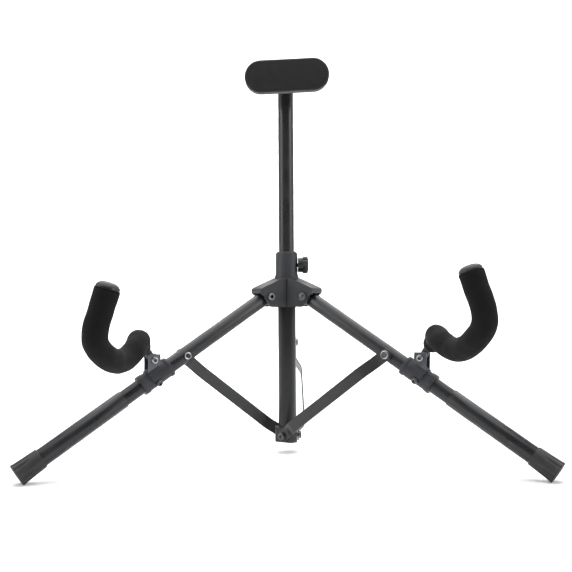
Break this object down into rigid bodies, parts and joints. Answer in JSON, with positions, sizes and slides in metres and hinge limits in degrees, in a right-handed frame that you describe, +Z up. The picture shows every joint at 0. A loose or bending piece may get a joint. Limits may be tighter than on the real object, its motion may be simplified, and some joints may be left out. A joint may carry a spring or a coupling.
{
  "type": "guitar stand",
  "caption": "Folding black tripod stand for a guitar: a central mast with a foam back pad, splayed legs on a sliding hub with flat struts, and curved foam-covered cradle arms.",
  "frame": {"origin": "on the floor, at the middle of the footprint", "axes": "+Z up, -Y towards the player's side where the guitar rests, +X to the right seen from there"},
  "size_m": [0.5158, 0.5337, 0.4285],
  "materials": {
    "tube_paint": "semi-gloss powder coat, faint texture",
    "strut_paint": "semi-gloss powder coat on flat bar",
    "casting": "moulded, satin with a fine grain",
    "plastic": "moulded, matt",
    "ear_steel": "zinc plated sheet, satin",
    "fastener": "plated, polished heads",
    "foam": "closed-cell foam, matt and finely pored",
    "foot_rubber": "moulded rubber, dull"
  },
  "bodies": {
    "hub_body": {"hub": "casting", "column_tube": "tube_paint", "guide_bush": "plastic", "leg_bolt_left": "fastener", "leg_bolt_right": "fastener", "leg_bolt_rear": "fastener"},
    "knob_body": {"knob": "plastic", "knob_screw": "fastener"},
    "mast_body": {"mast_tube": "tube_paint", "mast_plug": "plastic", "foot_bracket": "casting", "pad_saddle": "plastic", "pad_screw": "fastener", "strut_pin_left": "fastener", "strut_pin_right": "fastener", "strut_pin_rear": "fastener"},
    "pad_body": {"pad_plate": "plastic", "pad_foam": "foam"},
    "leg_body_left": {"leg_tube_left": "tube_paint", "leg_sleeve_left": "tube_paint", "foot_left": "foot_rubber", "leg_rivet_left": "fastener", "clamp_collar_left": "casting", "clamp_ear_left": "ear_steel", "clamp_screw_left": "fastener", "arm_pin_left": "fastener"},
    "strut_body_left": {"strut_left": "strut_paint", "strut_rivet_left": "fastener"},
    "leg_body_right": {"leg_tube_right": "tube_paint", "leg_sleeve_right": "tube_paint", "foot_right": "foot_rubber", "leg_rivet_right": "fastener", "clamp_collar_right": "casting", "clamp_ear_right": "ear_steel", "clamp_screw_right": "fastener", "arm_pin_right": "fastener"},
    "strut_body_right": {"strut_right": "strut_paint", "strut_rivet_right": "fastener"},
    "leg_body_rear": {"leg_tube_rear": "tube_paint", "leg_sleeve_rear": "tube_paint", "foot_rear": "foot_rubber", "leg_rivet_rear": "fastener"},
    "strut_body_rear": {"strut_rear": "strut_paint", "strut_rivet_rear": "fastener"},
    "arm_body_left": {"arm_rod_left": "tube_paint", "arm_foam_left": "foam", "arm_cap_left": "plastic"},
    "arm_body_right": {"arm_rod_right": "tube_paint", "arm_foam_right": "foam", "arm_cap_right": "plastic"}
  },
  "joints": [
    {"name": "mast_slide", "type": "slide", "parent": "hub_body", "child": "mast_body", "axis": [0, 0, -1], "range_m": [0, 0.1085]},
    {"name": "knob_turn", "type": "hinge", "parent": "hub_body", "child": "knob_body", "pos_m": [0.02, -0.02825, 0.20609], "axis": [1, 0, 0], "range_deg": [-360, 360]},
    {"name": "pad_swivel", "type": "hinge", "parent": "mast_body", "child": "pad_body", "pos_m": [0, -0.04825, 0.4076], "axis": [0, 1, 0], "range_deg": [-90, 90]},
    {"name": "leg_fold_left", "type": "hinge", "parent": "hub_body", "child": "leg_body_left", "pos_m": [-0.02252, -0.04125, 0.17159], "axis": [0.5, -0.866, 0], "range_deg": [0, 53.4]},
    {"name": "strut_fold_left", "type": "hinge", "parent": "mast_body", "child": "strut_body_left", "pos_m": [0, -0.02825, 0.019], "axis": [-0.5, 0.866, 0], "range_deg": [0, 39.1]},
    {"name": "leg_fold_right", "type": "hinge", "parent": "hub_body", "child": "leg_body_right", "pos_m": [0.02252, -0.04125, 0.17159], "axis": [0.5, 0.866, 0], "range_deg": [0, 53.4]},
    {"name": "strut_fold_right", "type": "hinge", "parent": "mast_body", "child": "strut_body_right", "pos_m": [0, -0.02825, 0.019], "axis": [-0.5, -0.866, 0], "range_deg": [0, 39.1]},
    {"name": "leg_fold_rear", "type": "hinge", "parent": "hub_body", "child": "leg_body_rear", "pos_m": [0, -0.00225, 0.17159], "axis": [-1, 0, 0], "range_deg": [0, 53.4]},
    {"name": "strut_fold_rear", "type": "hinge", "parent": "mast_body", "child": "strut_body_rear", "pos_m": [0, -0.02825, 0.019], "axis": [1, 0, 0], "range_deg": [0, 39.1]},
    {"name": "arm_fold_left", "type": "hinge", "parent": "leg_body_left", "child": "arm_body_left", "pos_m": [-0.13563, -0.10656, 0.1094], "axis": [-0.5, 0.866, 0], "range_deg": [0, 80]},
    {"name": "arm_fold_right", "type": "hinge", "parent": "leg_body_right", "child": "arm_body_right", "pos_m": [0.13631, -0.10532, 0.10935], "axis": [-0.4572, -0.8861, 0.0762], "range_deg": [0, 80]}
  ],
  "couplings": [
    {"joint": "leg_fold_left", "follows": "mast_slide", "rad_per_m": 8.5674},
    {"joint": "strut_fold_left", "follows": "mast_slide", "rad_per_m": 6.2648},
    {"joint": "leg_fold_right", "follows": "mast_slide", "rad_per_m": 8.5674},
    {"joint": "strut_fold_right", "follows": "mast_slide", "rad_per_m": 6.2648},
    {"joint": "leg_fold_rear", "follows": "mast_slide", "rad_per_m": 8.5674},
    {"joint": "strut_fold_rear", "follows": "mast_slide", "rad_per_m": 6.2648}
  ]
}
